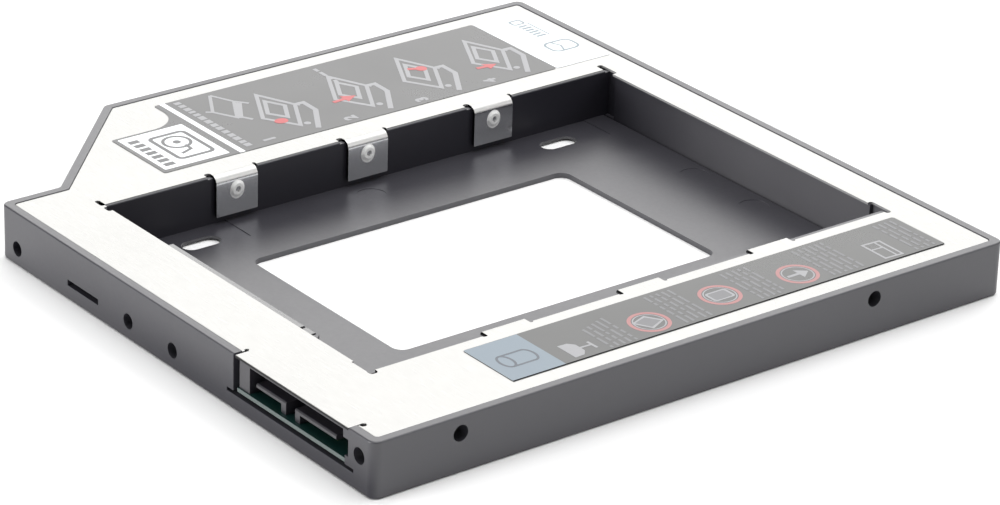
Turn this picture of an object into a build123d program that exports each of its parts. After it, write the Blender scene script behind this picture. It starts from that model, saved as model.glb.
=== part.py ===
from build123d import *
import math
import os

os.makedirs("parts", exist_ok=True)

# ---------------------------------------------------------------- driving dimensions (mm)
# x: width, straight side at +x.  y: depth, host connector at -y.  z: up.
width, depth, height = 128.0, 126.0, 9.5
outline = [(64, -63), (64, 63), (-64, 63), (-64, -27.1), (-39.0, -51.6), (-39.0, -63)]
corner_r = 1.5
rim_w = 1.6          # rim round the lid
wall_t = 2.3         # outer wall below the lid seat
floor_t = 0.95
seat_z = 9.0         # underside of the lid
lid_t = 0.4
lid_z = seat_z + lid_t
lid_gap = 0.04       # play between lid and rim

# drive bay, inner faces of its walls
bay_x0, bay_x1, bay_y0, bay_y1 = -28.7, 43.1, -49.9, 55.2
bay_wall = 1.4       # front and rear wall
bay_wall_l, bay_wall_r = 1.0, 1.35

# opening of the lid over the bay, set back a little from the side walls
open_x0, open_x1, open_y0, open_y1 = -29.15, 44.35, -49.45, 54.95

# bent-down drive tabs of the lid
tab_y_l = (-24.1, 2.7, 29.5)
tab_y_r = (-23.2, 3.6, 30.4)
tab_w, tab_bottom = 8.25, 2.1
tab_face_l, tab_face_r = -27.9, 42.7
bend_l, bend_r = 1.45, 0.5
lip_z = 9.3
dimple_z, dimple_d, dimple_top, dimple_h, dimple_pit = 6.5, 2.9, 2.0, 0.35, 1.0

# floor window and drive screw slots
win_x0, win_x1, win_y0, win_y1 = -13.1, 27.75, -31.6, 33.5
slot_x = (-23.45, 38.25)
slot_y = (-34.3, 40.5)
slot_len, slot_w = 7.3, 3.5

# rear wall
plug_x0, plug_x1, plug_z = 28.05, 57.75, 2.65
rear_small = ((-34.0, 3.1, 2.6), (-1.15, 3.2, 2.6), (11.35, 3.2, 2.6))
rear_big = (60.46, 6.06)
side_holes = ((-47.1, 6.65), (34.9, 6.65))
wall_hole_d = 2.7
insert_d, insert_l, insert_bore = 3.4, 3.0, 1.8
cable_slot = (-14.3, 3.08, 9.0, 1.05)

# adapter board
board_z0, board_z1 = 3.42, 4.08
board_x0, board_x1, board_y0, board_y1 = -16.0, 57.9, -60.3, -52.0
board_screw_xy = ((-13.2, -57.6), (26.2, -57.2))
clip_x = (30.8, 56.75)
clip_y = -57.0
sock_clip_x = (-13.4, 26.6)
sock_clip_y = -53.2

# host plug
hp_x0, hp_x1, hp_y0, hp_y1, hp_z1 = 29.15, 57.4, -62.6, -55.6, 8.88
power_x = [33.9 + 1.0 * i for i in range(6)]
signal_x = [45.3 + 1.27 * i for i in range(7)]
tongue_p, tongue_s = (32.9, 40.65), (43.0, 53.5)
tongue_z0, tongue_z1, leg_w = 5.35, 6.2, 1.25

# drive socket
ds_x0, ds_x1, ds_y0, ds_y1, ds_z1 = -11.6, 24.75, -54.6, -47.5, 8.6
ds_power_slot, ds_signal_slot = (-9.9, 10.9), (13.1, 23.7)
ds_power_x = [-8.4 + 1.27 * i for i in range(15)]
ds_signal_x = [14.4 + 1.27 * i for i in range(7)]

# lid screws from below, under the two stickers
cover_screw_xy = ((-46.5, -12.0), (-46.5, 45.0), (53.0, -19.0), (53.0, 49.0))


def inset(points, distance):
    """Corners of a counter-clockwise outline moved inwards by distance."""
    moved = []
    for i, (bx, by) in enumerate(points):
        ax, ay = points[i - 1]
        cx, cy = points[(i + 1) % len(points)]
        ux, uy = bx - ax, by - ay
        vx, vy = cx - bx, cy - by
        ul, vl = math.hypot(ux, uy), math.hypot(vx, vy)
        px, py = bx - uy / ul * distance, by + ux / ul * distance
        qx, qy = bx - vy / vl * distance, by + vx / vl * distance
        cross = ux * vy - uy * vx
        t = ((qx - px) * vy - (qy - py) * vx) / cross
        moved.append((px + ux * t, py + uy * t))
    return moved


def span(a, b):
    """Middle and length of an interval."""
    return (a + b) / 2, abs(b - a)


def block(x0, x1, y0, y1, z0, z1, mode=Mode.ADD):
    """Box between two corners, placed in the part being built."""
    (cx, lx), (cy, ly), (cz, lz) = span(x0, x1), span(y0, y1), span(z0, z1)
    with Locations((cx, cy, cz)):
        Box(lx, ly, lz, mode=mode)


# ---------------------------------------------------------------- tray
with BuildPart() as tray:
    with BuildSketch(Plane.XY):
        with BuildLine():
            Polyline(*outline, close=True)
        make_face()
    extrude(amount=height)
    fillet(tray.edges().filter_by(Axis.Z), corner_r)
    fillet(tray.faces().sort_by(Axis.Z)[-1].edges(), 0.3)
    fillet(tray.faces().sort_by(Axis.Z)[0].edges(), 0.5)

    # seat of the lid inside the rim
    with BuildSketch(Plane.XY.offset(seat_z)) as seat:
        with BuildLine():
            Polyline(*inset(outline, rim_w), close=True)
        make_face()
        fillet(seat.vertices(), 0.6)
    extrude(amount=height - seat_z, mode=Mode.SUBTRACT)
    chamfer(tray.faces().sort_by(Axis.Z)[-1].inner_wires()[0].edges(), 0.08)

    # hollow band all round the bay
    with BuildSketch(Plane.XY.offset(floor_t)) as band:
        with BuildLine():
            Polyline(*inset(outline, wall_t), close=True)
        make_face()
        with Locations((
            (bay_x0 - bay_wall_l + bay_x1 + bay_wall_r) / 2,
            (bay_y0 + bay_y1) / 2,
        )):
            Rectangle(
                bay_x1 - bay_x0 + bay_wall_l + bay_wall_r,
                bay_y1 - bay_y0 + 2 * bay_wall,
                mode=Mode.SUBTRACT,
            )
    extrude(amount=seat_z - floor_t, mode=Mode.SUBTRACT)

    # the bay itself
    block(bay_x0, bay_x1, bay_y0, bay_y1, floor_t, height, Mode.SUBTRACT)

    # rounded lip of the left-hand wall that fills the opening up to the sheet
    block(open_x0 + lid_gap, bay_x0, open_y0 + lid_gap, open_y1 - lid_gap, seat_z - 0.1, lip_z)
    lip = tray.edges().filter_by(Axis.Y).filter_by_position(Axis.Z, lip_z - 0.01, lip_z + 0.01).filter_by_position(Axis.X, bay_x0 - 0.01, bay_x0 + 0.01)
    fillet(lip, 0.35)

    # stiffening ribs in the bands
    for x0, y in ((-55.6, -33.0), (-62.0, 20.0), (-62.0, 52.0)):
        block(x0, -29.5, y - 0.5, y + 0.5, floor_t - 0.1, seat_z - 0.6)
    block(-46.9, -46.1, -8.0, 41.5, floor_t - 0.1, seat_z - 0.6)
    for y in (-34.0, -3.0, 15.0, 42.0):
        block(44.3, 62.0, y - 0.5, y + 0.5, floor_t - 0.1, seat_z - 0.6)
    for x in (-40.0, -20.0, 0.0, 20.0, 38.0):
        block(x - 0.5, x + 0.5, 56.4, 61.0, floor_t - 0.1, seat_z - 0.6)
    block(-25.5, -24.5, -61.0, -51.1, floor_t - 0.1, seat_z - 0.6)

    # bosses for the lid screws, with room for the threaded collars of the lid
    for x, y in cover_screw_xy:
        with Locations((x, y, (floor_t - 0.1 + seat_z) / 2)):
            Cylinder(2.9, seat_z - floor_t + 0.1)
        with Locations((x, y, seat_z - 0.6)):
            Cylinder(1.85, 1.2, mode=Mode.SUBTRACT)
        with Locations((x, y, height / 2)):
            Cylinder(1.15, height + 1, mode=Mode.SUBTRACT)
        with Locations((x, y, 0.55)):
            Cone(2.15, 1.15, 1.1, mode=Mode.SUBTRACT)

    # bosses behind the wall holes, each with a threaded insert
    for y, z in side_holes:
        block(57.6, 62.0, y - 2.9, y + 2.9, floor_t - 0.1, seat_z)
        with Locations(Location((61.7 - insert_l / 2, y, z), (0, 90, 0))):
            Cylinder(insert_d / 2, insert_l, mode=Mode.SUBTRACT)
        with Locations(Location((60.5, y, z), (0, 90, 0))):
            Cylinder(wall_hole_d / 2 - 0.25, 7.0, mode=Mode.SUBTRACT)
        with Locations(Location((63.5, y, z), (0, 90, 0))):
            Cylinder(wall_hole_d / 2, 3.6, mode=Mode.SUBTRACT)
    hx, hz = rear_big
    block(58.2, 62.0, -61.0, -56.6, floor_t - 0.1, seat_z)
    with Locations(Location((hx, -60.7 + insert_l / 2, hz), (90, 0, 0))):
        Cylinder(insert_d / 2, insert_l, mode=Mode.SUBTRACT)
    with Locations(Location((hx, -62.0, hz), (90, 0, 0))):
        Cylinder(wall_hole_d / 2, 2.6, mode=Mode.SUBTRACT)
    with Locations(Location((hx, -57.2, hz), (90, 0, 0))):
        Cylinder(wall_hole_d / 2 - 0.25, 3.0, mode=Mode.SUBTRACT)

    # small holes and the slot in the rear wall
    block(rear_small[0][0] - 2.4, rear_small[0][0] + 2.4, -61.0, -58.0, floor_t - 0.1, 5.0)
    for x, z, d in rear_small:
        with Locations(Location((x, -60.6, z), (90, 0, 0))):
            Cylinder(d / 2, 6.0, mode=Mode.SUBTRACT)
    sx, sz, sl, sh = cable_slot
    block(sx - sl / 2, sx + sl / 2, -63.5, -60.2, sz - sh / 2, sz + sh / 2, Mode.SUBTRACT)

    # window for the host plug, and the long slit that takes the board edge
    block(plug_x0, plug_x1, -63.5, -60.2, plug_z, height + 0.5, Mode.SUBTRACT)
    # steps in the right-hand jamb of the window
    block(56.4, plug_x1 + 0.3, -62.95, -61.3, 7.5, seat_z)
    block(56.85, plug_x1 + 0.3, -62.95, -61.3, plug_z + 0.55, 4.7)
    block(26.3, plug_x0 + 0.1, -63.5, -60.5, plug_z, plug_z + 0.6, Mode.SUBTRACT)
    block(plug_x1 - 0.1, 59.1, -63.5, -60.5, plug_z, plug_z + 0.6, Mode.SUBTRACT)

    # gap in the rear bay wall for the drive socket
    block(-15.1, 28.1, bay_y0 - bay_wall - 0.3, bay_y0 + 0.3, floor_t, height, Mode.SUBTRACT)
    # gusset at the right-hand end of the gap
    with BuildSketch(Plane.XY.offset(floor_t - 0.1)):
        with BuildLine():
            Polyline((28.2, bay_y0 - 0.4), (30.4, bay_y0 - 0.4), (30.4, bay_y0), (28.6, -47.5), (28.2, -47.5), close=True)
        make_face()
    extrude(amount=8.6 - floor_t + 0.1)

    # posts under the board
    for x, y in board_screw_xy:
        with Locations((x, y, (floor_t - 0.1 + board_z0) / 2)):
            Cylinder(2.2, board_z0 - floor_t + 0.1)
        with Locations((x, y, board_z0 - 1.0)):
            Cylinder(0.85, 2.4, mode=Mode.SUBTRACT)
    for x, y in ((6.0, -58.6), (43.0, -59.6), (55.0, -54.2), (34.0, -53.4)):
        with Locations((x, y, (floor_t - 0.1 + board_z0) / 2)):
            Cylinder(1.2, board_z0 - floor_t + 0.1)

    # room behind each drive tab
    h = tab_w / 2 + 0.1
    for y in tab_y_l:
        block(bay_x0 - bay_wall_l, bay_x0 + 0.1, y - h, y + h, 8.5, height, Mode.SUBTRACT)
        block(bay_x0 - bay_wall_l, bay_x0 + 0.1, y - tab_w / 2 - 1.2, y + tab_w / 2 + 0.55, seat_z, height, Mode.SUBTRACT)
    for y in tab_y_r:
        block(bay_x1 - 0.1, bay_x1 + 0.4, y - h, y + h, floor_t, height, Mode.SUBTRACT)

    # relieved front corners of the bay
    block(bay_x0, -26.2, bay_y1 - 0.1, bay_y1 + 0.7, floor_t, height, Mode.SUBTRACT)
    block(40.3, bay_x1, bay_y1 - 0.1, bay_y1 + 0.7, floor_t, height, Mode.SUBTRACT)

    # groove at the foot of the front wall
    block(bay_x0, bay_x1, bay_y1 - 0.4, bay_y1, floor_t - 0.25, floor_t + 0.1, Mode.SUBTRACT)

    # floor window
    with BuildSketch(Plane.XY):
        with Locations(((win_x0 + win_x1) / 2, (win_y0 + win_y1) / 2)):
            RectangleRounded(win_x1 - win_x0, win_y1 - win_y0, 2.0)
    extrude(amount=floor_t + 0.2, mode=Mode.SUBTRACT)

    # thinned pads with the four slots for the drive's own screws
    for x, x_wall in ((slot_x[0], bay_x0), (slot_x[1], bay_x1)):
        x_far = x_wall + math.copysign(7.6, x - x_wall)
        for y, y_a, y_b in ((slot_y[0], -44.6, -26.0), (slot_y[1], 30.9, 50.4)):
            block(min(x_wall, x_far), max(x_wall, x_far), y_a, y_b, floor_t - 0.1, floor_t + 0.2, Mode.SUBTRACT)
            with BuildSketch(Plane.XY):
                with Locations(Location((x, y, 0), (0, 0, 90))):
                    SlotOverall(slot_len, slot_w)
            extrude(amount=floor_t, mode=Mode.SUBTRACT)
            # shallow seat for the screw head underneath
            with BuildSketch(Plane.XY):
                with Locations(Location((x, y, 0), (0, 0, 90))):
                    SlotOverall(slot_len + 2.4, slot_w + 2.4)
            extrude(amount=0.37, mode=Mode.SUBTRACT)

    # faint ejector marks in the bay's floor
    with BuildSketch(Plane.XY.offset(floor_t - 0.06)):
        with Locations((16.4, 51.2), (0.6, 51.4), (33.0, 51.0), (-23.4, 0.25)):
            Circle(2.6)
    extrude(amount=0.2, mode=Mode.SUBTRACT)

    # underside: shallow moulded panels in the bands
    with BuildSketch(Plane.XY):
        with Locations((-46.5, 16.5)):
            RectangleRounded(26.0, 44.0, 1.5)
        with Locations((53.6, 15.0)):
            RectangleRounded(13.0, 54.0, 1.5)
        with Locations((10.0, -56.2)):
            RectangleRounded(70.0, 7.6, 1.5)
    extrude(amount=0.2, mode=Mode.SUBTRACT)
tray.part.label = "tray"

# ---------------------------------------------------------------- stamped lid
with BuildPart() as cover_plate:
    with BuildSketch(Plane.XY.offset(seat_z)) as sheet:
        with BuildLine():
            Polyline(*inset(outline, rim_w + lid_gap), close=True)
        make_face()
        fillet(sheet.vertices(), 0.6)
        # lip over the host plug, freed by a slit each side
        with Locations(((28.4 + 57.5) / 2, -61.9)):
            Rectangle(57.5 - 28.4, 2.1)
        with Locations((28.2, -61.3)):
            Rectangle(0.4, 1.6, mode=Mode.SUBTRACT)
        with Locations((27.92, -60.5)):
            Circle(0.34, mode=Mode.SUBTRACT)
        with Locations((57.62, -61.3)):
            Rectangle(0.24, 1.6, mode=Mode.SUBTRACT)
        with Locations((57.95, -60.5)):
            Circle(0.5, mode=Mode.SUBTRACT)
        # opening over the bay
        with Locations(((open_x0 + open_x1) / 2, (open_y0 + open_y1) / 2)):
            Rectangle(open_x1 - open_x0, open_y1 - open_y0, mode=Mode.SUBTRACT)
        # rounded reliefs at its corners
        with Locations((-30.0, -49.65)):
            RectangleRounded(2.2, 0.9, 0.4, mode=Mode.SUBTRACT)
        with Locations((-27.35, -49.7)):
            RectangleRounded(1.7, 1.0, 0.4, mode=Mode.SUBTRACT)
        with Locations((44.6, -49.2)):
            RectangleRounded(1.5, 1.5, 0.55, mode=Mode.SUBTRACT)
        with Locations((-28.9, 55.35)):
            RectangleRounded(4.6, 1.2, 0.5, mode=Mode.SUBTRACT)
        with Locations((42.5, 55.25)):
            RectangleRounded(5.0, 1.1, 0.5, mode=Mode.SUBTRACT)
        # shallow set-back of the rear edge near the right-hand corner
        with Locations((42.25, -49.5)):
            Rectangle(4.1, 0.7, mode=Mode.SUBTRACT)
        # slots that free the tabs, wider on the side away from the front
        for tabs, x_a, x_b, side, w, r in (
            (tab_y_l, -30.2, -28.6, -1, 1.2, 0.5),
            (tab_y_l, -29.85, -28.6, 1, 0.55, 0.24),
            (tab_y_r, 43.7, 44.65, -1, 0.85, 0.24),
            (tab_y_r, 43.7, 44.65, 1, 0.6, 0.24),
        ):
            for y in tabs:
                with Locations(((x_a + x_b) / 2, y + side * (tab_w / 2 + w / 2))):
                    RectangleRounded(x_b - x_a, w, r, mode=Mode.SUBTRACT)
        # the bend starts a little outside the straight edge of the opening
        for y in tab_y_l:
            with Locations((tab_face_l - bend_l + 0.4, y)):
                Rectangle(0.8, tab_w + 0.5, mode=Mode.SUBTRACT)
    extrude(amount=lid_t)
    # rolled upper edge left by the stamping
    rolled = cover_plate.faces().sort_by(Axis.Z)[-1].outer_wire().edges()
    fillet(rolled, 0.12)

    # the six tabs: flat root, bend, straight leg, pitted dimple facing the drive
    for tabs, face, root, s, r in (
        (tab_y_l, tab_face_l, open_x0 - 0.4, 1, bend_l),
        (tab_y_r, tab_face_r, open_x1 + 0.4, -1, bend_r),
    ):
        for y in tabs:
            inner_r = r - lid_t
            cx = face - s * r
            cz = lid_z - r
            d = math.sqrt(0.5)
            with BuildSketch(Plane.XZ.offset(-y - tab_w / 2)) as leg:
                with BuildLine():
                    Polyline((root, seat_z), (root, lid_z), (cx, lid_z))
                    ThreePointArc((cx, lid_z), (cx + s * r * d, cz + r * d), (face, cz))
                    Polyline((face, cz), (face, tab_bottom), (face - s * lid_t, tab_bottom), (face - s * lid_t, cz))
                    ThreePointArc((face - s * lid_t, cz), (cx + s * inner_r * d, cz + inner_r * d), (cx, seat_z))
                    Line((cx, seat_z), (root, seat_z))
                make_face()
            extrude(amount=tab_w)
            flare = (dimple_d - dimple_top) / 2 / dimple_h
            with Locations(Location((face + s * (dimple_h - 0.1) / 2, y, dimple_z), (0, s * 90, 0))):
                Cone(dimple_d / 2 + 0.1 * flare, dimple_top / 2, dimple_h + 0.1)
            # hollow behind the dimple, then the pit in its top
            with Locations(Location((face - s * (lid_t - 0.15), y, dimple_z), (0, s * 90, 0))):
                Cone(1.2, 0.8, 0.3, mode=Mode.SUBTRACT)
            with Locations(Location((face + s * (dimple_h + 0.05), y, dimple_z), (0, 90, 0))):
                Cylinder(dimple_pit / 2, 0.6, mode=Mode.SUBTRACT)
    # lower corners of the tabs
    feet = cover_plate.edges().filter_by(Axis.X).filter_by_position(Axis.Z, tab_bottom - 0.05, tab_bottom + 0.05)
    chamfer(feet, 0.12)

    # threaded collars drawn downwards for the lid screws
    for x, y in cover_screw_xy:
        with Locations((x, y, seat_z - 0.35)):
            Cylinder(1.6, 0.9)
        with Locations((x, y, seat_z)):
            Cylinder(0.95, 3.0, mode=Mode.SUBTRACT)
cover_plate.part.label = "cover_plate"

# ---------------------------------------------------------------- adapter board
with BuildPart() as adapter_board:
    block(board_x0, board_x1, board_y0, board_y1, board_z0, board_z1)
    block(28.9, 56.75, -62.85, board_y0 + 0.5, board_z0, board_z1)
    fillet(adapter_board.edges().filter_by(Axis.Z).filter_by_position(Axis.X, board_x0 - 0.1, board_x0 + 0.1), 0.8)
    for x, y in board_screw_xy:
        with Locations((x, y, board_z0)):
            Cylinder(1.15, 4.0, mode=Mode.SUBTRACT)
    for x in clip_x:
        block(x - 0.35, x + 0.35, clip_y - 1.1, clip_y + 1.1, 3.0, 5.0, Mode.SUBTRACT)
    for x in sock_clip_x:
        block(x - 0.35, x + 0.35, sock_clip_y - 1.1, sock_clip_y + 1.1, 3.0, 5.0, Mode.SUBTRACT)
adapter_board.part.label = "adapter_board"

# ---------------------------------------------------------------- host plug
with BuildPart() as host_plug_housing:
    block(hp_x0, hp_x1, hp_y0, hp_y1, board_z1, hp_z1)
    # cavity, open to the rear and down to the board
    block(31.85, 56.1, hp_y0 - 0.1, -57.2, board_z1 - 0.1, 8.5, Mode.SUBTRACT)
    # right-hand cheek set back behind the jamb steps of the tray
    block(56.05, hp_x1 + 0.1, hp_y0 - 0.1, -61.2, board_z1 - 0.1, hp_z1 + 0.1, Mode.SUBTRACT)
    # tongues with the keying leg
    block(tongue_p[0], tongue_p[1], -62.1, -57.0, tongue_z0, tongue_z1)
    block(tongue_p[1] - leg_w, tongue_p[1], -62.1, -57.0, board_z1 + 0.05, tongue_z1)
    block(tongue_s[0], tongue_s[1], -62.1, -57.0, tongue_z0, tongue_z1)
    block(tongue_s[0], tongue_s[0] + leg_w, -62.1, -57.0, board_z1 + 0.05, tongue_z1)
    noses = host_plug_housing.edges().filter_by(Axis.X).filter_by_position(Axis.Y, -62.15, -62.05).filter_by_position(Axis.Z, tongue_z0 - 0.05, tongue_z1 + 0.05)
    chamfer(noses, 0.2)
    # grooves for the contacts through the back wall
    for x in power_x:
        block(x - 0.3, x + 0.3, -57.3, hp_y1 + 0.1, tongue_z0 - 0.3, tongue_z0, Mode.SUBTRACT)
        block(x - 0.3, x + 0.3, -55.9, hp_y1 + 0.1, board_z1 - 0.1, tongue_z0, Mode.SUBTRACT)
    for x in signal_x:
        block(x - 0.42, x + 0.42, -57.3, hp_y1 + 0.1, tongue_z0 - 0.3, tongue_z0, Mode.SUBTRACT)
        block(x - 0.42, x + 0.42, -55.9, hp_y1 + 0.1, board_z1 - 0.1, tongue_z0, Mode.SUBTRACT)
    # slots for the hold-down clips
    for x in clip_x:
        block(x - 0.3, x + 0.3, clip_y - 1.05, hp_y1 + 0.1, board_z1 - 0.1, 7.45, Mode.SUBTRACT)
host_plug_housing.part.label = "host_plug_housing"


def plug_contact(x, w):
    """One stamped contact: strip under the tongue, heel and solder foot."""
    with BuildSketch(Plane.YZ.offset(x - w / 2)) as profile:
        with BuildLine():
            Polyline(
                (-61.6, tongue_z0), (-61.6, tongue_z0 - 0.2), (-55.86, tongue_z0 - 0.2), (-55.86, board_z1),
                (-54.2, board_z1), (-54.2, board_z1 + 0.2), (-55.66, board_z1 + 0.2), (-55.66, tongue_z0),
                close=True,
            )
        make_face()
    extrude(profile.sketch, amount=w)


with BuildPart() as host_power_contacts:
    for x in power_x:
        plug_contact(x, 0.5)
host_power_contacts.part.label = "host_power_contacts"

with BuildPart() as host_signal_contacts:
    for x in signal_x:
        plug_contact(x, 0.7)
host_signal_contacts.part.label = "host_signal_contacts"


def clip(x, y, top):
    """Flat hold-down clip with a split foot through the board."""
    block(x - 0.2, x + 0.2, y - 1.0, y + 1.0, 2.3, top)
    block(x - 0.25, x + 0.25, y - 0.35, y + 0.35, 2.2, 3.9, Mode.SUBTRACT)
    block(x - 0.2, x + 0.2, y - 1.0, y + 1.3, top - 0.6, top)


with BuildPart() as host_plug_clips:
    for x in clip_x:
        clip(x, clip_y, 7.4)
host_plug_clips.part.label = "host_plug_clips"

# ---------------------------------------------------------------- drive socket
with BuildPart() as drive_socket_housing:
    block(ds_x0, ds_x1, ds_y0, board_y1 + 0.1, board_z1, ds_z1)
    block(ds_x0, ds_x1, board_y1 + 0.1, ds_y1, 2.2, ds_z1)
    # guide posts at both ends, on an ear that sits on the board
    for x0, x1 in ((-14.6, ds_x0 + 0.1), (ds_x1 - 0.1, 27.7)):
        block(x0, x1, ds_y0, board_y1 + 0.1, board_z1, 7.6)
    block(-14.3, -12.9, board_y1 - 0.2, -48.2, 4.4, 7.6)
    block(25.4, 27.7, board_y1 - 0.2, -47.5, 4.4, ds_z1)
    top_edge = drive_socket_housing.edges().filter_by(Axis.X).filter_by_position(Axis.Z, ds_z1 - 0.05, ds_z1 + 0.05).filter_by_position(Axis.Y, ds_y1 - 0.05, ds_y1 + 0.05)
    chamfer(top_edge, 0.12)
    # L-shaped slots that the drive's tongues go into
    for (x0, x1), foot in ((ds_power_slot, 1), (ds_signal_slot, -1)):
        block(x0, x1, -53.0, ds_y1 + 0.1, 4.9, 6.5, Mode.SUBTRACT)
        xf = x1 - 1.5 if foot > 0 else x0
        block(xf, xf + 1.5, -53.0, ds_y1 + 0.1, 3.6 if foot else 4.9, 6.5, Mode.SUBTRACT)
    for x in ds_power_x + ds_signal_x:
        block(x - 0.4, x + 0.4, ds_y0 - 0.1, -48.3, 4.55, 4.95, Mode.SUBTRACT)
        block(x - 0.4, x + 0.4, ds_y0 - 0.1, -53.7, board_z1 - 0.1, 4.95, Mode.SUBTRACT)
    for x in sock_clip_x:
        block(x - 0.3, x + 0.3, ds_y0 - 0.1, sock_clip_y + 1.05, board_z1 - 0.1, 7.05, Mode.SUBTRACT)
drive_socket_housing.part.label = "drive_socket_housing"


def socket_contact(x, w):
    """One sprung contact: bowed beam in the slot, heel and solder foot."""
    with BuildSketch(Plane.YZ.offset(x - w / 2)) as profile:
        with BuildLine():
            Polyline(
                (-48.5, 4.68), (-49.4, 5.2), (-50.4, 5.2), (-51.6, 4.85), (-54.0, 4.85), (-54.0, board_z1 + 0.2),
                (-55.8, board_z1 + 0.2), (-55.8, board_z1), (-53.8, board_z1), (-53.8, 4.65), (-51.5, 4.65),
                (-50.35, 5.0), (-49.5, 5.0), (-48.6, 4.57), close=True,
            )
        make_face()
    extrude(profile.sketch, amount=w)


with BuildPart() as drive_power_contacts:
    for x in ds_power_x:
        socket_contact(x, 0.6)
drive_power_contacts.part.label = "drive_power_contacts"

with BuildPart() as drive_signal_contacts:
    for x in ds_signal_x:
        socket_contact(x, 0.6)
drive_signal_contacts.part.label = "drive_signal_contacts"

with BuildPart() as drive_socket_clips:
    for x in sock_clip_x:
        block(x - 0.2, x + 0.2, sock_clip_y - 1.0, sock_clip_y + 1.0, 2.3, 7.0)
        block(x - 0.25, x + 0.25, sock_clip_y - 0.35, sock_clip_y + 0.35, 2.2, 3.9, Mode.SUBTRACT)
drive_socket_clips.part.label = "drive_socket_clips"

# ---------------------------------------------------------------- parts on the board
with BuildPart() as board_capacitors:
    for x, y in ((-6.5, -58.4), (1.0, -58.4), (14.5, -58.4)):
        block(x - 1.6, x + 1.6, y - 0.8, y + 0.8, board_z1, board_z1 + 1.2)
board_capacitors.part.label = "board_capacitors"

with BuildPart() as board_resistors:
    for x, y in ((7.6, -58.6), (10.4, -58.6), (19.5, -58.6), (22.0, -58.6)):
        block(x - 0.4, x + 0.4, y - 0.8, y + 0.8, board_z1, board_z1 + 0.45)
board_resistors.part.label = "board_resistors"

with BuildPart() as board_screws:
    for x, y in board_screw_xy:
        with Locations((x, y, board_z1 + 0.45)):
            Cylinder(1.75, 0.9)
        with Locations((x, y, board_z1 - 0.95)):
            Cylinder(0.8, 2.0)
    heads = board_screws.edges().filter_by(GeomType.CIRCLE).filter_by_position(Axis.Z, board_z1 + 0.85, board_z1 + 0.95)
    fillet(heads, 0.4)
    for x, y in board_screw_xy:
        block(x - 1.1, x + 1.1, y - 0.18, y + 0.18, board_z1 + 0.4, board_z1 + 1.0, Mode.SUBTRACT)
        block(x - 0.18, x + 0.18, y - 1.1, y + 1.1, board_z1 + 0.4, board_z1 + 1.0, Mode.SUBTRACT)
board_screws.part.label = "board_screws"

with BuildPart() as cover_screws:
    for x, y in cover_screw_xy:
        with Locations((x, y, 0.6)):
            Cone(2.0, 0.9, 1.1)
        with Locations((x, y, 4.9)):
            Cylinder(0.9, 8.2)
    for x, y in cover_screw_xy:
        block(x - 1.25, x + 1.25, y - 0.2, y + 0.2, 0.0, 0.65, Mode.SUBTRACT)
        block(x - 0.2, x + 0.2, y - 1.25, y + 1.25, 0.0, 0.65, Mode.SUBTRACT)
cover_screws.part.label = "cover_screws"

# ---------------------------------------------------------------- threaded inserts behind the wall holes
with BuildPart() as mount_inserts:
    for y, z in side_holes:
        with Locations(Location((61.7 - insert_l / 2, y, z), (0, 90, 0))):
            Cylinder(insert_d / 2, insert_l)
            Cylinder(insert_bore / 2, insert_l + 0.2, mode=Mode.SUBTRACT)
    with Locations(Location((rear_big[0], -60.7 + insert_l / 2, rear_big[1]), (90, 0, 0))):
        Cylinder(insert_d / 2, insert_l)
        Cylinder(insert_bore / 2, insert_l + 0.2, mode=Mode.SUBTRACT)
    mouths = mount_inserts.edges().filter_by(GeomType.CIRCLE).filter_by(lambda e: abs(e.radius - insert_bore / 2) < 0.01)
    chamfer(mouths, 0.2)
mount_inserts.part.label = "mount_inserts"

# ---------------------------------------------------------------- film under the lid
with BuildPart() as insulating_film:
    with BuildSketch(Plane.XY.offset(seat_z - 0.08)):
        with Locations(((-13.0 + 56.4) / 2, -56.2)):
            RectangleRounded(56.4 + 13.0, 7.6, 1.0)
    extrude(amount=0.08)
insulating_film.part.label = "insulating_film"

# ---------------------------------------------------------------- stickers on the lid
sticker_t = 0.06
with BuildPart() as label_instructions:
    with BuildSketch(Plane.XY.offset(lid_z)) as art:
        with BuildLine():
            Polyline(
                (-59.0, 48.2), (-59.0, -20.2), (-50.5, -20.2), (-50.5, -34.3), (-34.2, -34.3), (-34.2, 48.2),
                close=True,
            )
        make_face()
        # generous arc in the step of the outline, small corners elsewhere
        step = art.vertices().filter_by(lambda v: abs(v.X + 50.5) < 0.01 and abs(v.Y + 20.2) < 0.01)
        fillet(step, 5.6)
        corners = art.vertices().filter_by(lambda v: min(abs(v.X + 59.0), abs(v.X + 34.2)) < 0.01 or abs(v.Y + 34.3) < 0.01)
        fillet(corners, 0.4)
    extrude(amount=sticker_t)
label_instructions.part.label = "label_instructions"

with BuildPart() as label_drive:
    with BuildSketch(Plane.XY.offset(lid_z)):
        with Locations((-46.6, 54.5)):
            RectangleRounded(24.8, 12.2, 0.6)
    extrude(amount=sticker_t)
label_drive.part.label = "label_drive"

with BuildPart() as label_strip:
    with BuildSketch(Plane.XY.offset(lid_z)):
        with Locations((53.0, 10.3)):
            RectangleRounded(12.6, 88.2, 0.5)
    extrude(amount=sticker_t)
label_strip.part.label = "label_strip"

# ---------------------------------------------------------------- one STEP file for each node
for made in (
    tray,
    cover_plate,
    adapter_board,
    host_plug_housing,
    host_power_contacts,
    host_signal_contacts,
    host_plug_clips,
    drive_socket_housing,
    drive_power_contacts,
    drive_signal_contacts,
    drive_socket_clips,
    board_capacitors,
    board_resistors,
    board_screws,
    cover_screws,
    mount_inserts,
    insulating_film,
    label_instructions,
    label_drive,
    label_strip,
):
    export_step(made.part, f"parts/{made.part.label}.step")
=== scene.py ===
import math
import random

import bpy
from mathutils import Matrix, Vector


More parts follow.
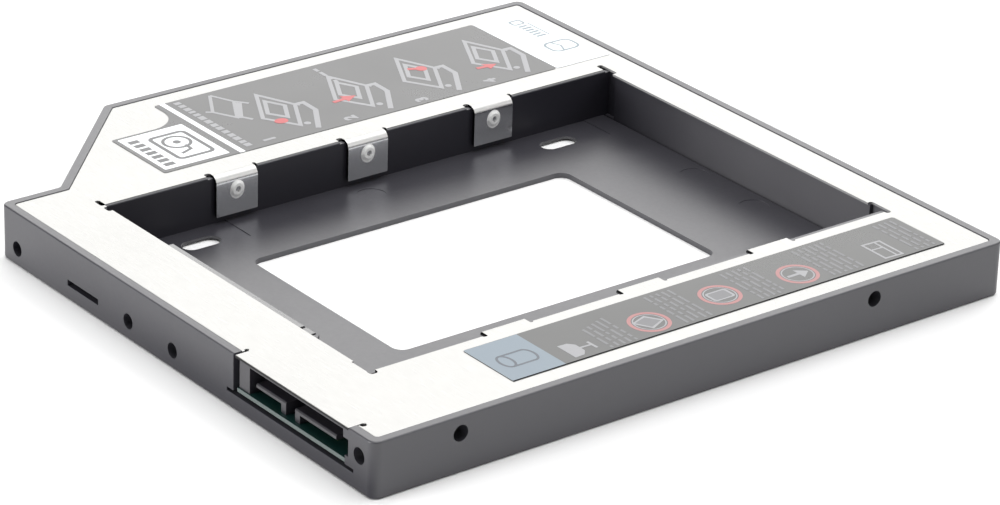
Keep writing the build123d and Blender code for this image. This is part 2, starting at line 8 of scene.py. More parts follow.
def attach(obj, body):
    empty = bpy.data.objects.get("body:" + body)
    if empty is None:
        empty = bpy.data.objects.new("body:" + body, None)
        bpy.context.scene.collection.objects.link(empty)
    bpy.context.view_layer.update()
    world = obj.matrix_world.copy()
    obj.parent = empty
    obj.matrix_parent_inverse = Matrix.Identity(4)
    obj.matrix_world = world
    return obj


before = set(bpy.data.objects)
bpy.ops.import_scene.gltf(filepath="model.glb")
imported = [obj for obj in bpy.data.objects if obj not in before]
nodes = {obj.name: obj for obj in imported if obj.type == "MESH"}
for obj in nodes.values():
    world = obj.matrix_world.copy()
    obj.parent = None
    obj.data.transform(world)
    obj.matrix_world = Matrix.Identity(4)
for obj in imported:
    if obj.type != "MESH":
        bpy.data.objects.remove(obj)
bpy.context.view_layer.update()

MM = 0.001
scene = bpy.context.scene

# ------------------------------------------------------------------ camera
# Azimuth, elevation and roll of the view, and the place of the camera in metres.
azimuth, elevation, roll = 0.901526647, 0.431908161, 0.0317457927
eye = Vector((0.493541, -0.380647, 0.286758))
back = Vector((math.sin(azimuth) * math.cos(elevation), -math.cos(azimuth) * math.cos(elevation), math.sin(elevation)))
right0 = Vector((math.cos(azimuth), math.sin(azimuth), 0.0))
up0 = back.cross(right0)
right = right0 * math.cos(roll) + up0 * math.sin(roll)
up = up0 * math.cos(roll) - right0 * math.sin(roll)
cam_data = bpy.data.cameras.new("view")
cam_data.sensor_fit = "HORIZONTAL"
cam_data.sensor_width = 36.0
cam_data.lens = 4157.7 / 1000.0 * 36.0
cam_data.clip_start = 0.02
cam_data.clip_end = 30.0
camera = bpy.data.objects.new("view", cam_data)
camera.matrix_world = Matrix((
    (right.x, up.x, back.x, eye.x),
    (right.y, up.y, back.y, eye.y),
    (right.z, up.z, back.z, eye.z),
    (0.0, 0.0, 0.0, 1.0),
))
scene.collection.objects.link(camera)
scene.camera = camera
scene.view_settings.view_transform = "Standard"
scene.view_settings.look = "None"
scene.view_settings.exposure = 0.0
scene.view_settings.gamma = 1.0


# ------------------------------------------------------------------ light
def softbox(name, direction, distance, size_x, size_y, radiance, colour=(1.0, 1.0, 1.0)):
    data = bpy.data.lights.new(name, "AREA")
    data.shape = "RECTANGLE"
    data.size, data.size_y = size_x, size_y
    data.energy = radiance * math.pi * size_x * size_y
    data.color = colour
    box = bpy.data.objects.new(name, data)
    d = Vector(direction).normalized()
    box.location = d * distance
    box.rotation_euler = d.to_track_quat("Z", "Y").to_euler()
    box.visible_camera = False
    scene.collection.objects.link(box)
    return box


world = bpy.data.worlds.new("studio")
scene.world = world
world.use_nodes = True
world.node_tree.nodes["Background"].inputs["Color"].default_value = (1.0, 1.0, 1.0, 1.0)
world.node_tree.nodes["Background"].inputs["Strength"].default_value = 0.22

softbox("back_light", (-0.719, 0.555, 0.47), 1.9, 2.6, 1.5, 2.35, (1.0, 0.998, 0.988))
softbox("top_light", (0.06, -0.06, 1.0), 1.6, 1.15, 1.15, 3.9)
softbox("left_light", (-0.33, -0.92, 0.42), 1.6, 0.9, 0.8, 2.9)
softbox("left_low_light", (-0.33, -0.92, 0.17), 1.6, 0.9, 0.4, 8.0)
softbox("right_light", (0.80, 0.5, 0.42), 1.7, 0.9, 0.8, 1.6)
softbox("front_light", (0.02, 0.6, 0.78), 1.7, 1.4, 0.9, 2.6)


# ------------------------------------------------------------------ node materials
class Finish:
    """A node material with one Principled shader, and short calls for the nodes that feed it."""

    def __init__(self, name, metallic=0.0, ior=1.5, specular=0.5, coat=0.0, coat_rough=0.1):
        self.mat = bpy.data.materials.new(name)
        self.mat.use_nodes = True
        self.tree = self.mat.node_tree
        self.tree.nodes.clear()
        self.out = self.node("ShaderNodeOutputMaterial")
        self.shader = self.node("ShaderNodeBsdfPrincipled")
        self.link(self.shader.outputs["BSDF"], self.out.inputs["Surface"])
        self.shader.inputs["Metallic"].default_value = metallic
        self.shader.inputs["IOR"].default_value = ior
        self.shader.inputs["Specular IOR Level"].default_value = specular
        self.shader.inputs["Coat Weight"].default_value = coat
        self.shader.inputs["Coat Roughness"].default_value = coat_rough
        self.coords = self.node("ShaderNodeTexCoord").outputs["Object"]

    def node(self, kind):
        return self.tree.nodes.new(kind)

    def link(self, a, b):
        self.tree.links.new(a, b)

    def stretched(self, sx, sy, sz, angle=0.0):
        m = self.node("ShaderNodeMapping")
        m.inputs["Scale"].default_value = (sx, sy, sz)
        m.inputs["Rotation"].default_value = (0.0, 0.0, angle)
        self.link(self.coords, m.inputs["Vector"])
        return m.outputs["Vector"]

    def noise(self, scale, detail=3.0, rough=0.5, vector=None, distortion=0.0):
        n = self.node("ShaderNodeTexNoise")
        n.inputs["Scale"].default_value = scale
        n.inputs["Detail"].default_value = detail
        n.inputs["Roughness"].default_value = rough
        n.inputs["Distortion"].default_value = distortion
        self.link(vector or self.coords, n.inputs["Vector"])
        return n.outputs["Fac"]

    def cells(self, scale, vector=None):
        n = self.node("ShaderNodeTexVoronoi")
        n.inputs["Scale"].default_value = scale
        self.link(vector or self.coords, n.inputs["Vector"])
        return n.outputs["Distance"]

    def spread(self, value, low, high, low_in=0.3, high_in=0.7):
        r = self.node("ShaderNodeMapRange")
        r.inputs["From Min"].default_value = low_in
        r.inputs["From Max"].default_value = high_in
        r.inputs["To Min"].default_value = low
        r.inputs["To Max"].default_value = high
        self.link(value, r.inputs["Value"])
        return r.outputs["Result"]

    def add(self, a, b, operation="ADD"):
        n = self.node("ShaderNodeMath")
        n.operation = operation
        self.link(a, n.inputs[0])
        if isinstance(b, (int, float)):
            n.inputs[1].default_value = b
        else:
            self.link(b, n.inputs[1])
        return n.outputs[0]

    def mix(self, factor, a, b):
        n = self.node("ShaderNodeMix")
        n.data_type = "RGBA"
        self.link(factor, n.inputs[0])
        for socket, value in ((n.inputs[6], a), (n.inputs[7], b)):
            if isinstance(value, tuple):
                socket.default_value = (*value, 1.0)
            else:
                self.link(value, socket)
        return n.outputs[2]

    def colour(self, value):
        if isinstance(value, tuple):
            self.shader.inputs["Base Color"].default_value = (*value, 1.0)
        else:
            self.link(value, self.shader.inputs["Base Color"])
        return self

    def rough(self, value):
        if isinstance(value, (int, float)):
            self.shader.inputs["Roughness"].default_value = value
        else:
            self.link(value, self.shader.inputs["Roughness"])
        return self

    def bump(self, *layers):
        """Each layer is (height, depth in mm)."""
        normal = None
        for height, depth in layers:
            b = self.node("ShaderNodeBump")
            b.inputs["Distance"].default_value = depth * MM
            b.inputs["Strength"].default_value = 1.0
            self.link(height, b.inputs["Height"])
            if normal is not None:
                self.link(normal, b.inputs["Normal"])
            normal = b.outputs["Normal"]
        self.link(normal, self.shader.inputs["Normal"])
        return self

    def on(self, *names):
        for name in names:
            mesh = nodes[name].data
            mesh.materials.clear()
            mesh.materials.append(self.mat)
            mesh.polygons.foreach_set("material_index", [0] * len(mesh.polygons))
        return self


def moulded(name, dark, light, rough=0.4, grain=0.006, grain_scale=5200.0, specular=0.5):
    """Injection-moulded plastic: fine eroded grain, slow flow marks in colour and gloss."""
    f = Finish(name, specular=specular)
    flow = f.noise(42.0, 4.0, 0.55, distortion=0.6)
    fine = f.noise(grain_scale, 2.0, 0.6)
    specks = f.noise(1400.0, 2.0, 0.5)
    f.colour(f.mix(f.spread(flow, 0.0, 1.0), dark, light))
    f.rough(f.add(f.spread(flow, rough - 0.035, rough + 0.035), f.spread(specks, -0.02, 0.02)))
    f.bump((fine, grain), (specks, grain * 0.8), (flow, 0.02))
    return f


def plated(name, low, high, rough=0.25, streak=0.0015):
    """Plated stamping: die streaks and slow tarnish."""
    f = Finish(name, metallic=1.0)
    tarnish = f.noise(380.0, 3.0, 0.6)
    lines = f.noise(900.0, 2.0, 0.5, f.stretched(1.0, 0.08, 1.0))
    f.colour(f.mix(f.spread(tarnish, 0.0, 1.0), low, high))
    f.rough(f.add(f.spread(lines, rough - 0.07, rough + 0.07), f.spread(tarnish, 0.04, -0.03)))
    f.bump((lines, streak))
    return f


def printed(name, colour, spread=0.08, rough=0.33, specular=0.5, grain=0.0012):
    """Ink on film: even colour with a faint dot and slight unevenness of gloss."""
    f = Finish(name, specular=specular)
    slow = f.noise(60.0, 3.0, 0.5)
    dots = f.noise(3600.0, 1.0, 0.5)
    mottled = f.add(f.spread(slow, 0.0, 0.6), f.spread(dots, 0.0, 0.4))
    f.colour(f.mix(mottled, tuple(c * (1.0 - spread) for c in colour), tuple(min(1.0, c * (1.0 + spread)) for c in colour)))
    f.rough(f.add(f.spread(slow, rough - 0.03, rough + 0.03), f.spread(dots, -0.015, 0.015)))
    f.bump((dots, grain), (slow, 0.012))
    return f


tray_finish = moulded("tray_plastic", (0.033, 0.032, 0.040), (0.043, 0.042, 0.051), rough=0.37, specular=0.9)
tray_side = tray_finish.node("ShaderNodeSeparateXYZ")
tray_finish.link(tray_finish.node("ShaderNodeNewGeometry").outputs["Normal"], tray_side.inputs["Vector"])
tray_place = tray_finish.node("ShaderNodeSeparateXYZ")
tray_finish.link(tray_finish.coords, tray_place.inputs["Vector"])
# painted shade, tone fitted: the wall behind the left-hand tabs is painted darker and duller;
# tone fitted to the photo, cause unknown: the wall behind the left-hand tabs is darker and duller
painted_shade = tray_finish.add(tray_finish.spread(tray_side.outputs["X"], 0.0, 1.0, 0.7, 0.95), tray_finish.spread(tray_place.outputs["X"], 1.0, 0.0, -0.026, -0.025), "MULTIPLY")
# painted shade, fitted the same way: on the front wall's inside next to it, and on the low part of the rear wall
# towards the right
inner_front = tray_finish.add(tray_finish.spread(tray_side.outputs["Y"], 0.0, 1.0, -0.7, -0.95), tray_finish.spread(tray_place.outputs["Y"], 0.0, 1.0, 0.050, 0.052), "MULTIPLY")
painted_corner_shade = tray_finish.add(inner_front, tray_finish.spread(tray_place.outputs["X"], 0.7, 0.0, -0.027, -0.004), "MULTIPLY")
painted_shade = tray_finish.add(painted_shade, painted_corner_shade, "MAXIMUM")
painted_rear_shade = tray_finish.add(tray_finish.spread(tray_side.outputs["Y"], 0.0, 1.0, -0.3, -0.9), tray_finish.spread(tray_place.outputs["X"], 0.0, 0.8, -0.030, 0.012), "MULTIPLY")
painted_rear_shade = tray_finish.add(painted_rear_shade, tray_finish.spread(tray_place.outputs["Y"], 1.0, 0.0, -0.060, -0.058), "MULTIPLY")
painted_rear_shade = tray_finish.add(painted_rear_shade, tray_finish.spread(tray_place.outputs["Z"], 1.0, 0.1, 0.0020, 0.0078), "MULTIPLY")
painted_shade = tray_finish.add(painted_shade, painted_rear_shade, "MAXIMUM")
tray_finish.link(tray_finish.spread(painted_shade, 0.9, 0.25, 0.0, 1.0), tray_finish.shader.inputs["Specular IOR Level"])
# painted light, fitted the same way: the inside of the front wall is painted lighter towards the right
painted_light_front = tray_finish.add(inner_front, tray_finish.spread(tray_place.outputs["X"], 0.02, 1.0, -0.026, 0.010), "MULTIPLY")
with_painted_light = tray_finish.mix(painted_light_front, tray_finish.shader.inputs["Base Color"].links[0].from_socket, (0.106, 0.104, 0.114))
# painted shade: the masked walls get a near-black colour
tray_finish.colour(tray_finish.mix(painted_shade, with_painted_light, (0.026, 0.025, 0.033)))
tray_finish.on("tray")

lid = Finish("lid_steel")
brush = lid.noise(1.0, 3.0, 0.6, lid.stretched(260.0, 5200.0, 5200.0))
fine = lid.noise(1.0, 2.0, 0.5, lid.stretched(900.0, 14000.0, 14000.0))
cloud = lid.noise(22.0, 3.0, 0.5)
facing = lid.node("ShaderNodeSeparateXYZ")
lid.link(lid.node("ShaderNodeNewGeometry").outputs["Normal"], facing.inputs["Vector"])
place = lid.node("ShaderNodeSeparateXYZ")
lid.link(lid.coords, place.inputs["Vector"])
# painted shade and painted light, tones fitted: sheared edges towards the rear are painted dark, the tab faces are
# painted paler and are smoother than the flat sheet
sheared = lid.spread(facing.outputs["Y"], 0.0, 1.0, -0.8, -0.95)
upright = lid.spread(lid.add(facing.outputs["X"], facing.outputs["X"], "MULTIPLY"), 0.0, 1.0, 0.35, 0.8)
# painted highlight: a near-white ring is painted round each dimple; distance from the axis of the nearest one
shifted = lid.add(place.outputs["Y"], lid.spread(place.outputs["X"], 0.0, 0.9 * MM, 0.0, 0.001), "SUBTRACT")
along = lid.add(lid.add(lid.add(shifted, 13.4 * MM - 2.7 * MM + 268.0 * MM), 26.8 * MM, "MODULO"), 13.4 * MM, "SUBTRACT")
height = lid.add(place.outputs["Z"], 6.5 * MM, "SUBTRACT")
away = lid.add(lid.add(lid.add(along, along, "MULTIPLY"), lid.add(height, height, "MULTIPLY")), 0.5, "POWER")
wide = lid.add(along, 1.0 / 1.46, "MULTIPLY")
tall = lid.add(lid.add(place.outputs["Z"], 6.4 * MM, "SUBTRACT"), 1.0 / 1.72, "MULTIPLY")
oval = lid.add(lid.add(lid.add(wide, wide, "MULTIPLY"), lid.add(tall, tall, "MULTIPLY")), 0.5, "POWER")
inside = lid.add(lid.spread(oval, 1.0, 0.0, 0.95 * MM, 1.03 * MM), lid.spread(away, 0.0, 1.0, 0.44 * MM, 0.50 * MM), "MULTIPLY")
painted_dimple_highlight = lid.add(inside, lid.spread(lid.add(facing.outputs["Z"], facing.outputs["Z"], "MULTIPLY"), 1.0, 0.0, 0.8, 0.9), "MULTIPLY")
steel = lid.mix(lid.spread(cloud, 0.0, 1.0), (0.358, 0.356, 0.349), (0.400, 0.397, 0.389))
# painted light: the upright tab faces are painted paler than the flat sheet
steel = lid.mix(upright, steel, (0.475, 0.48, 0.50))
# painted light: the bends are painted paler, and they are more matt
across = lid.add(facing.outputs["X"], facing.outputs["X"], "MULTIPLY")
bent = lid.add(lid.spread(across, 0.0, 1.0, 0.01, 0.12), lid.spread(across, 1.0, 0.0, 0.90, 0.99), "MULTIPLY")
bent = lid.add(bent, lid.spread(place.outputs["Z"], 0.0, 1.0, 7.9 * MM, 8.2 * MM), "MULTIPLY")
steel = lid.mix(bent, steel, (0.62, 0.615, 0.605))
at_front = lid.add(sheared, lid.spread(place.outputs["Y"], 0.0, 1.0, 0.050, 0.052), "MULTIPLY")
# painted shade: sheared edges facing the rear, except at the front of the opening, are painted near black
steel = lid.mix(lid.add(sheared, at_front, "SUBTRACT"), steel, (0.030, 0.030, 0.030))
# painted light: the cut rim of the opening is painted brighter at the front and the left
at_left = lid.add(lid.spread(facing.outputs["X"], 0.0, 1.0, 0.85, 0.97), lid.spread(place.outputs["X"], 1.0, 0.0, -0.029, -0.028), "MULTIPLY")
turned_in = lid.add(at_left, at_front, "MAXIMUM")
painted_rim_light = lid.add(turned_in, lid.spread(place.outputs["Z"], 0.0, 1.0, 8.93 * MM, 8.98 * MM), "MULTIPLY")
steel = lid.mix(painted_rim_light, steel, (0.42, 0.42, 0.42))
# painted highlight: the dimple rings are near white and hardly metallic
lid.colour(lid.mix(painted_dimple_highlight, steel, (0.97, 0.97, 0.96)))
lid.link(lid.spread(lid.add(painted_dimple_highlight, painted_rim_light, "MAXIMUM"), 1.0, 0.1, 0.0, 1.0), lid.shader.inputs["Metallic"])
flat_rough = lid.add(lid.spread(brush, 0.24, 0.36), lid.spread(cloud, -0.02, 0.03))
lid.rough(lid.add(lid.add(flat_rough, lid.add(upright, 0.10, "MULTIPLY"), "SUBTRACT"), lid.add(bent, 0.17, "MULTIPLY")))
calm = lid.spread(facing.outputs["Z"], 0.0, 1.0, 0.95, 0.995)
lid.bump((lid.add(brush, calm, "MULTIPLY"), 0.0016), (lid.add(fine, calm, "MULTIPLY"), 0.0007), (lid.add(cloud, calm, "MULTIPLY"), 0.03))
lid.on("cover_plate")

board = Finish("board_green", specular=0.5, coat=0.4, coat_rough=0.12)
weave_x = board.noise(1.0, 1.0, 0.4, board.stretched(300.0, 2600.0, 200.0))
weave_y = board.noise(1.0, 1.0, 0.4, board.stretched(2600.0, 300.0, 200.0))
weave = board.add(weave_x, weave_y, "MULTIPLY")
depth = board.node("ShaderNodeSeparateXYZ")
board.link(board.node("ShaderNodeNewGeometry").outputs["Normal"], depth.inputs["Vector"])
cut = board.spread(board.add(depth.outputs["Z"], depth.outputs["Z"], "MULTIPLY"), 1.0, 0.0, 0.2, 0.5)
mask = board.mix(board.spread(weave, 0.0, 1.0, 0.15, 0.4), (0.0045, 0.026, 0.024), (0.007, 0.038, 0.034))
board.colour(board.mix(cut, mask, (0.090, 0.120, 0.115)))
board.rough(board.spread(weave, 0.30, 0.42, 0.15, 0.4))
board.bump((weave, 0.01))
board.on("adapter_board")

connector = moulded("connector_black", (0.022, 0.020, 0.026), (0.032, 0.030, 0.037), rough=0.33, grain=0.003, specular=0.95)
connector.on("host_plug_housing")
# painted sheen: the base colour is lighter than the socket's black plastic
socket_black = moulded("socket_black", (0.075, 0.074, 0.078), (0.095, 0.094, 0.098), rough=0.27, grain=0.003, specular=1.0)
socket_black.shader.inputs["IOR"].default_value = 1.62
socket_black.on("drive_socket_housing")

gold = plated("contact_gold", (0.80, 0.56, 0.22), (0.93, 0.72, 0.34), rough=0.22)
gold.on("host_power_contacts", "host_signal_contacts", "drive_power_contacts", "drive_signal_contacts")

tin = plated("clip_tin", (0.60, 0.60, 0.58), (0.74, 0.74, 0.72), rough=0.34)
tin.on("host_plug_clips", "drive_socket_clips")

ceramic = printed("capacitor_tan", (0.34, 0.23, 0.13), spread=0.12, rough=0.5, grain=0.004)
ceramic.on("board_capacitors")

resistor = printed("resistor_black", (0.018, 0.018, 0.020), spread=0.15, rough=0.4, grain=0.003)
resistor.on("board_resistors")

screw = Finish("screw_steel", metallic=1.0)
turned = screw.noise(1.0, 2.0, 0.5, screw.stretched(1500.0, 1500.0, 9000.0))
oxide = screw.noise(700.0, 3.0, 0.6)
screw.colour(screw.mix(screw.spread(oxide, 0.0, 1.0), (0.085, 0.082, 0.088), (0.15, 0.146, 0.15)))
screw.rough(screw.spread(turned, 0.28, 0.42))
screw.bump((turned, 0.002))
screw.on("board_screws", "cover_screws")

insert = plated("insert_steel", (0.20, 0.195, 0.19), (0.31, 0.305, 0.30), rough=0.34)
insert.on("mount_inserts")

film = printed("film_black", (0.012, 0.012, 0.014), spread=0.1, rough=0.28)
film.on("insulating_film")

dark_label = printed("label_dark", (0.054, 0.054, 0.055), rough=0.30, specular=0.55)
dark_label.on("label_instructions")
strip_label = printed("label_strip_grey", (0.047, 0.048, 0.047), rough=0.30, specular=0.55)
strip_label.on("label_strip")
pale_label = printed("label_pale", (0.80, 0.83, 0.85), spread=0.015, rough=0.34)
pale_label.on("label_drive")

ink_white = printed("ink_white", (0.83, 0.86, 0.88), spread=0.02, rough=0.34)
ink_grey = printed("ink_grey", (0.27, 0.27, 0.285), spread=0.05, rough=0.34)
ink_faint = printed("ink_faint", (0.13, 0.13, 0.14), spread=0.05, rough=0.34)
ink_dark = printed("ink_dark", (0.060, 0.062, 0.066), spread=0.06, rough=0.32)
ink_red = printed("ink_red", (0.46, 0.045, 0.05), spread=0.05, rough=0.34)
ink_ring = printed("ink_ring", (0.35, 0.125, 0.125), spread=0.05, rough=0.34)
# painted shade: near-black matt colour for the line along the strip's edge
painted_edge_shade = printed("painted_edge_shade", (0.012, 0.012, 0.013), spread=0.1, rough=0.8, specular=0.05)
ink_blue = printed("ink_blue", (0.156, 0.205, 0.250), spread=0.03, rough=0.32)
ink_slate = printed("ink_slate", (0.045, 0.06, 0.085), spread=0.05, rough=0.32)
ink_pale_blue = printed("ink_pale_blue", (0.30, 0.35, 0.38), spread=0.02, rough=0.5, specular=0.3)


# ------------------------------------------------------------------ print on the stickers
class Print:
    """Thin solid fields of ink, each a hair above the last so that no two share a plane."""

    def __init__(self, name, finish, slot, base=9.461, thick=0.011):
        self.name, self.finish, self.slot = name, finish, slot
        self.base, self.thick = base, thick
        self.verts, self.faces, self.count = [], [], 0

    def _top(self):
        self.count += 1
        return self.base + self.thick + 0.00006 * self.count

    def field(self, points):
        """Filled outline, counter-clockwise seen from above."""
        area = sum(a[0] * b[1] - b[0] * a[1] for a, b in zip(points, points[1:] + points[:1]))
        if area < 0:
            points = points[::-1]
        z, n, s = self._top(), len(points), len(self.verts)
        self.verts += [(x * MM, y * MM, z * MM) for x, y in points]
        self.verts += [(x * MM, y * MM, (self.base - 0.004) * MM) for x, y in points]
        self.faces.append(list(range(s, s + n)))
        self.faces.append(list(range(s + 2 * n - 1, s + n - 1, -1)))
        for i in range(n):
            j = (i + 1) % n
            self.faces.append([s + j, s + i, s + n + i, s + n + j])
        return self

    def bar(self, x0, x1, y0, y1):
        return self.field([(x0, y0), (x1, y0), (x1, y1), (x0, y1)])

    def ring(self, outer, inner):
        """Band between two outlines of the same number of points, both counter-clockwise."""
        z, n, s = self._top(), len(outer), len(self.verts)
        low = (self.base - 0.004) * MM
        for loop, h in ((outer, z * MM), (inner, z * MM), (outer, low), (inner, low)):
            self.verts += [(x * MM, y * MM, h) for x, y in loop]
        for i in range(n):
            j = (i + 1) % n
            self.faces.append([s + i, s + j, s + n + j, s + n + i])
            self.faces.append([s + 2 * n + j, s + 2 * n + i, s + 3 * n + i, s + 3 * n + j])
            self.faces.append([s + j, s + i, s + 2 * n + i, s + 2 * n + j])
            self.faces.append([s + n + i, s + n + j, s + 3 * n + j, s + 3 * n + i])
        return self

    def line(self, points, width, closed=False):
        """Stroke of even width with mitred corners."""
        if closed:
            area = sum(a[0] * b[1] - b[0] * a[1] for a, b in zip(points, points[1:] + points[:1]))
            if area < 0:
                points = points[::-1]
        left, right_side = [], []
        n = len(points)
        for i, p in enumerate(points):
            a = points[i - 1] if (i > 0 or closed) else None
            b = points[(i + 1) % n] if (i < n - 1 or closed) else None
            p = Vector(p)
            d1 = (p - Vector(a)).normalized() if a is not None else None
            d2 = (Vector(b) - p).normalized() if b is not None else None
            if d1 is None:
                d1 = d2
            if d2 is None:
                d2 = d1
            m = d1 + d2
            m = m.normalized() if m.length > 1e-6 else Vector((-d1.y, d1.x))
            normal = Vector((-m.y, m.x))
            stretch = 1.0 / max(0.45, normal.dot(Vector((-d1.y, d1.x))))
            left.append(tuple(p + normal * (width / 2 * stretch)))
            right_side.append(tuple(p - normal * (width / 2 * stretch)))
        if closed:
            return self.ring(right_side, left)
        return self.field(right_side + left[::-1])

    def disc(self, x, y, rx, ry=None, steps=40):
        ry = ry or rx
        return self.field([(x + rx * math.cos(t), y + ry * math.sin(t)) for t in turn(steps)])

    def circle(self, x, y, r, width, steps=64):
        o = [(x + (r + width / 2) * math.cos(t), y + (r + width / 2) * math.sin(t)) for t in turn(steps)]
        i = [(x + (r - width / 2) * math.cos(t), y + (r - width / 2) * math.sin(t)) for t in turn(steps)]
        return self.ring(o, i)

    def words(self, seed, x_from, x_to, y, tall, longest=3.2):
        """A row of short bars that stands for a line of small print, running along x."""
        rng = random.Random(seed)
        x = x_from
        while x < x_to - 0.5:
            w = min(rng.uniform(0.8, longest), x_to - x)
            self.bar(x, x + w, y - tall / 2, y + tall / 2)
            x += w + rng.uniform(0.35, 0.6)
        return self

    def build(self):
        mesh = bpy.data.meshes.new(self.name)
        mesh.from_pydata(self.verts, [], self.faces)
        mesh.validate()
        mesh.update()
        mesh.materials.append(self.finish.mat)
        piece = bpy.data.objects.new(self.name, mesh)
        scene.collection.objects.link(piece)
        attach(piece, "root")
        return piece


def turn(steps):
    return [2 * math.pi * i / steps for i in range(steps)]


def rounded(x0, x1, y0, y1, r, steps=6):
    out = []
    for cx, cy, start in ((x1 - r, y0 + r, -90), (x1 - r, y1 - r, 0), (x0 + r, y1 - r, 90), (x0 + r, y0 + r, 180)):
        for k in range(steps + 1):
            a = math.radians(start + 90.0 * k / steps)
            out.append((cx + r * math.cos(a), cy + r * math.sin(a)))
    return out


# --- large dark sticker: heading panel, rule, heading row, five step drawings
panel = Print("print_panel", ink_white, "label_dark")
panel.field(rounded(-49.9, -35.2, -33.5, -20.6, 0.3))
panel.build()
panel_art = Print("print_panel_art", ink_dark, "label_dark", base=9.474)
# a plain drawing of a drive, seen from above, and rows of blocks beside it
panel_art.line(rounded(-47.4, -37.6, -28.9, -22.1, 0.9), 0.75, closed=True)
panel_art.circle(-43.9, -25.5, 2.35, 0.6)
panel_art.disc(-43.9, -25.5, 0.7)
panel_art.line([(-39.4, -27.4), (-40.3, -25.0), (-42.2, -24.9)], 0.6)
for i in range(7):
    panel_art.bar(-48.3 + i * 1.8, -47.1 + i * 1.8, -32.6, -30.6)
panel_art.build()

rule = Print("print_rule", ink_white, "label_dark")
rule.bar(-59.0, -34.25, -19.1, -18.05)
rule.build()

heading = Print("print_heading", ink_grey, "label_dark")
heading.words(3, -58.2, -35.8, -16.2, 1.25, longest=1.5)
heading.words(11, -57.6, -50.0, 12.4, 0.7, longest=2.0)
heading.build()

lines = Print("print_steps", ink_grey, "label_dark")
marks = Print("print_step_marks", ink_red, "label_dark", base=9.478)


def step(y, closed_drive=True, bracket=True):
    """Simple drawing of a drive and its tray. y is the middle of the drawing along the sticker."""
    def at(x, dy):
        return (x, y + dy)
    a, h, g, c = at(-53.4, 0.3), at(-44.2, -4.6), at(-38.3, -0.9), at(-46.3, 3.5)
    lines.line([a, h, g, c], 0.72, closed=True)
    lines.line([at(-52.0, 0.95), at(-45.5, 4.0)], 0.4)
    if closed_drive:
        lines.line([at(-50.3, -0.05), at(-45.5, -2.7), at(-42.4, -0.7), at(-46.9, 1.8)], 0.75, closed=True)
    if bracket:
        lines.line([c, at(-46.2, 5.2), at(-42.4, 5.1), at(-35.7, 1.0)], 0.95)
        lines.disc(*at(-38.4, 0.6), 0.6)


# first drawing: the tray alone
lines.line([(-57.6, -9.6), (-52.3, -7.2)], 0.55)
lines.line([(-51.1, -5.9), (-53.2, -7.6), (-47.6, -10.8), (-44.9, -9.3)], 0.6)
lines.line([(-52.2, -7.4), (-46.6, -10.9)], 1.3)
lines.line([(-57.6, -9.6), (-51.2, -13.3), (-46.6, -10.9)], 0.6)
lines.line([(-51.2, -13.3), (-51.9, -14.3)], 0.6)
step(-3.1)
step(12.1)
step(26.9)
step(42.0)
# red marks: dots and arrows that show where the drive goes
marks.disc(-41.6, -5.7, 1.05, 1.25)
marks.line([(-43.3, 6.4), (-43.55, 9.0)], 0.8)
marks.field([(-44.9, 8.8), (-42.2, 8.9), (-43.7, 11.4)])
marks.line([(-48.4, 26.0), (-47.6, 27.6)], 0.9)
marks.disc(-47.3, 28.2, 1.05)
marks.line([(-41.9, 36.4), (-41.7, 38.4)], 0.8)
marks.field([(-43.0, 38.2), (-40.4, 38.4), (-41.7, 40.6)])
lines.build()
marks.build()


def figure(text, x, y, size, finish, base=9.461):
    """A plain number, upright for a reader who stands at the front of the part."""
    curve = bpy.data.curves.new("figure", "FONT")
    curve.body = text
    curve.size = size * MM
    curve.align_x, curve.align_y = "CENTER", "CENTER"
    curve.extrude = 0.006 * MM
    curve.offset = 0.17 * MM
    curve.resolution_u = 4
    holder = bpy.data.objects.new("figure", curve)
    scene.collection.objects.link(holder)
    bpy.context.view_layer.update()
    mesh = bpy.data.meshes.new_from_object(holder.evaluated_get(bpy.context.evaluated_depsgraph_get()))
    bpy.data.objects.remove(holder)
    mesh.transform(Matrix.Translation((x * MM, y * MM, (base + 0.006) * MM)) @ Matrix.Rotation(math.pi, 4, "Z"))
    mesh.materials.clear()
    mesh.materials.append(finish.mat)
    piece = bpy.data.objects.new("print_number_" + text, mesh)
    scene.collection.objects.link(piece)
    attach(piece, "root")
    return piece


for i, (x, y) in enumerate(((-36.3, -11.7), (-36.2, 5.0), (-36.0, 20.0), (-36.2, 35.2))):
    figure(str(i + 1), x, y, 3.1, ink_grey)

# --- pale sticker: one row of blocks and a plain drawing of a drive
pale = Print("print_pale", ink_pale_blue, "label_pale")
pale.line(rounded(-56.2, -54.4, 54.5, 56.8, 0.5), 0.45, closed=True)
for k in range(6):
    pale.bar(-53.6 + k * 1.05, -53.0 + k * 1.05, 54.6, 56.4 + 0.3 * (k % 2))
pale.bar(-54.2, -47.6, 57.1, 57.4)
pale.line(rounded(-44.4, -40.2, 52.9, 58.6, 1.4), 0.5, closed=True)
pale.line([(-44.3, 54.8), (-42.3, 55.6), (-40.3, 54.8)], 0.4)
pale.build()

# --- strip: blue field with a cylinder, three rings, rows of small print
blue = Print("print_blue", ink_blue, "label_strip_grey")
blue.field([(46.78, -33.72), (59.22, -33.72), (59.22, -23.55), (46.78, -23.55)])
blue.build()
cyl = Print("print_cylinder", ink_slate, "label_strip_grey", base=9.474)


def ellipse(x, y, rx, ry, a0, a1, steps=20):
    return [(x + rx * math.cos(math.radians(a0 + (a1 - a0) * k / steps)), y + ry * math.sin(math.radians(a0 + (a1 - a0) * k / steps))) for k in range(steps + 1)]


cyl.line(ellipse(53.4, -30.6, 1.95, 1.1, 0, 360)[:-1], 0.42, closed=True)
cyl.line([(51.45, -30.6)] + ellipse(53.4, -26.4, 1.95, 1.15, 180, 0) + [(55.35, -30.6)], 0.42)
cyl.build()

white = Print("print_strip_white", ink_grey, "label_strip_grey")
small = Print("print_strip_rows", ink_faint, "label_strip_grey")
rings = Print("print_strip_rings", ink_ring, "label_strip_grey")
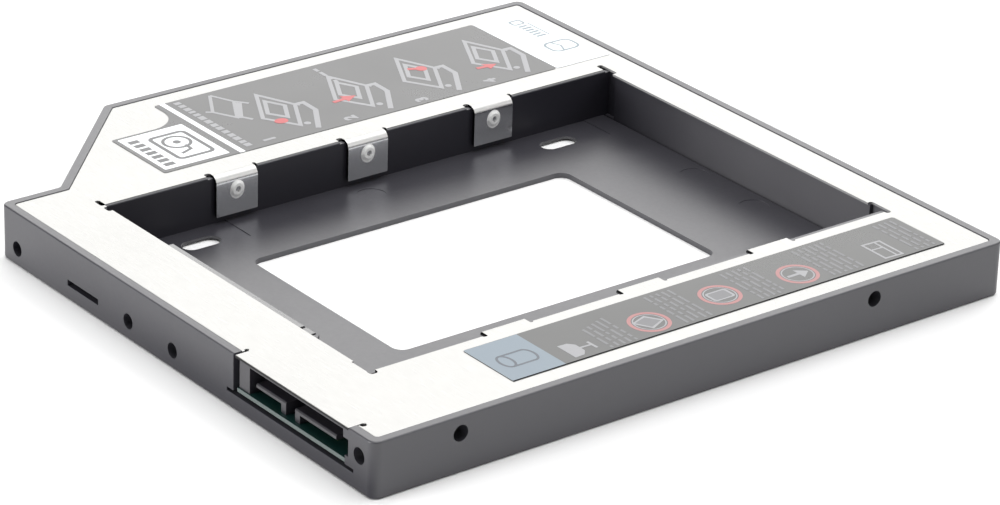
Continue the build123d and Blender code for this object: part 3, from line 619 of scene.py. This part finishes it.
# plain plug shape above the rows
white.field([(53.6, -21.0), (53.7, -19.2), (54.7, -18.3), (57.0, -18.3), (58.1, -19.2), (58.2, -21.0)])
white.line([(55.9, -18.5), (56.0, -16.2)], 0.4)
white.line([(54.9, -16.2), (57.3, -16.1)], 0.45)
for k, y in enumerate((-14.1, -12.9, -11.7, -10.5, -9.3)):
    small.words(20 + k, 51.2 - 0.4 * k, 58.6, y, 0.5)
rings.circle(54.9, -3.9, 3.2, 0.62)
white.circle(54.9, -3.9, 2.6, 0.22)
small.field([(54.0, -6.0), (56.5, -4.6), (55.4, -2.0), (53.2, -3.5)])
white.line([(54.0, -6.2), (56.7, -4.6), (55.4, -1.8), (53.0, -3.4)], 0.5, closed=True)
for k, y in enumerate((1.0, 2.2, 3.4, 4.6, 5.8)):
    small.words(30 + k, 47.6, 58.4, y, 0.5)
rings.circle(53.6, 11.5, 3.25, 0.62)
white.circle(53.6, 11.5, 2.65, 0.22)
small.field(rounded(52.4, 54.8, 9.8, 13.2, 0.4))
white.line(rounded(52.3, 54.9, 9.6, 13.4, 0.4), 0.45, closed=True)
white.line([(52.6, 10.7), (54.6, 10.7)], 0.4)
for k, y in enumerate((16.4, 17.6, 18.8, 20.0, 21.2)):
    small.words(40 + k, 47.8, 58.4, y, 0.5)
rings.circle(54.6, 26.8, 3.2, 0.62)
white.circle(54.6, 26.8, 2.6, 0.22)
white.line([(54.6, 24.7), (54.6, 27.4)], 0.6)
white.field([(53.1, 27.0), (56.1, 27.0), (54.6, 29.0)])
for k, y in enumerate((31.6, 32.8, 34.0, 35.2, 36.4, 37.6)):
    small.words(50 + k, 47.6, 58.2, y, 0.5)
white.line([(52.3, 42.6), (58.0, 42.5), (58.2, 46.0), (52.5, 46.1)], 0.4, closed=True)
white.line([(52.6, 45.0), (58.0, 44.9)], 0.32)
white.line([(54.5, 42.6), (54.6, 44.8)], 0.32)
for k, y in enumerate((49.2, 50.4, 51.6, 52.8)):
    small.words(60 + k, 47.6, 58.4, y, 0.5)
white.build()
small.build()
rings.build()
# painted shade: a dark matt line is painted along the strip's outer edge
edge = Print("painted_strip_edge_shade", painted_edge_shade, "label_strip_grey", base=9.478)
edge.bar(59.08, 59.27, -33.7, 54.2)
edge.build()

# ------------------------------------------------------------------ floor
floor_mesh = bpy.data.meshes.new("floor")
floor_mesh.from_pydata([(-6, -6, 0), (6, -6, 0), (6, 6, 0), (-6, 6, 0)], [], [(0, 1, 2, 3)])
floor = bpy.data.objects.new("floor", floor_mesh)
scene.collection.objects.link(floor)
paper = Finish("paper_white", specular=0.2)
paper.colour(paper.mix(paper.spread(paper.noise(3.0), 0.0, 1.0), (0.93, 0.93, 0.93), (0.95, 0.95, 0.95)))
paper.rough(0.9)
floor_mesh.materials.append(paper.mat)
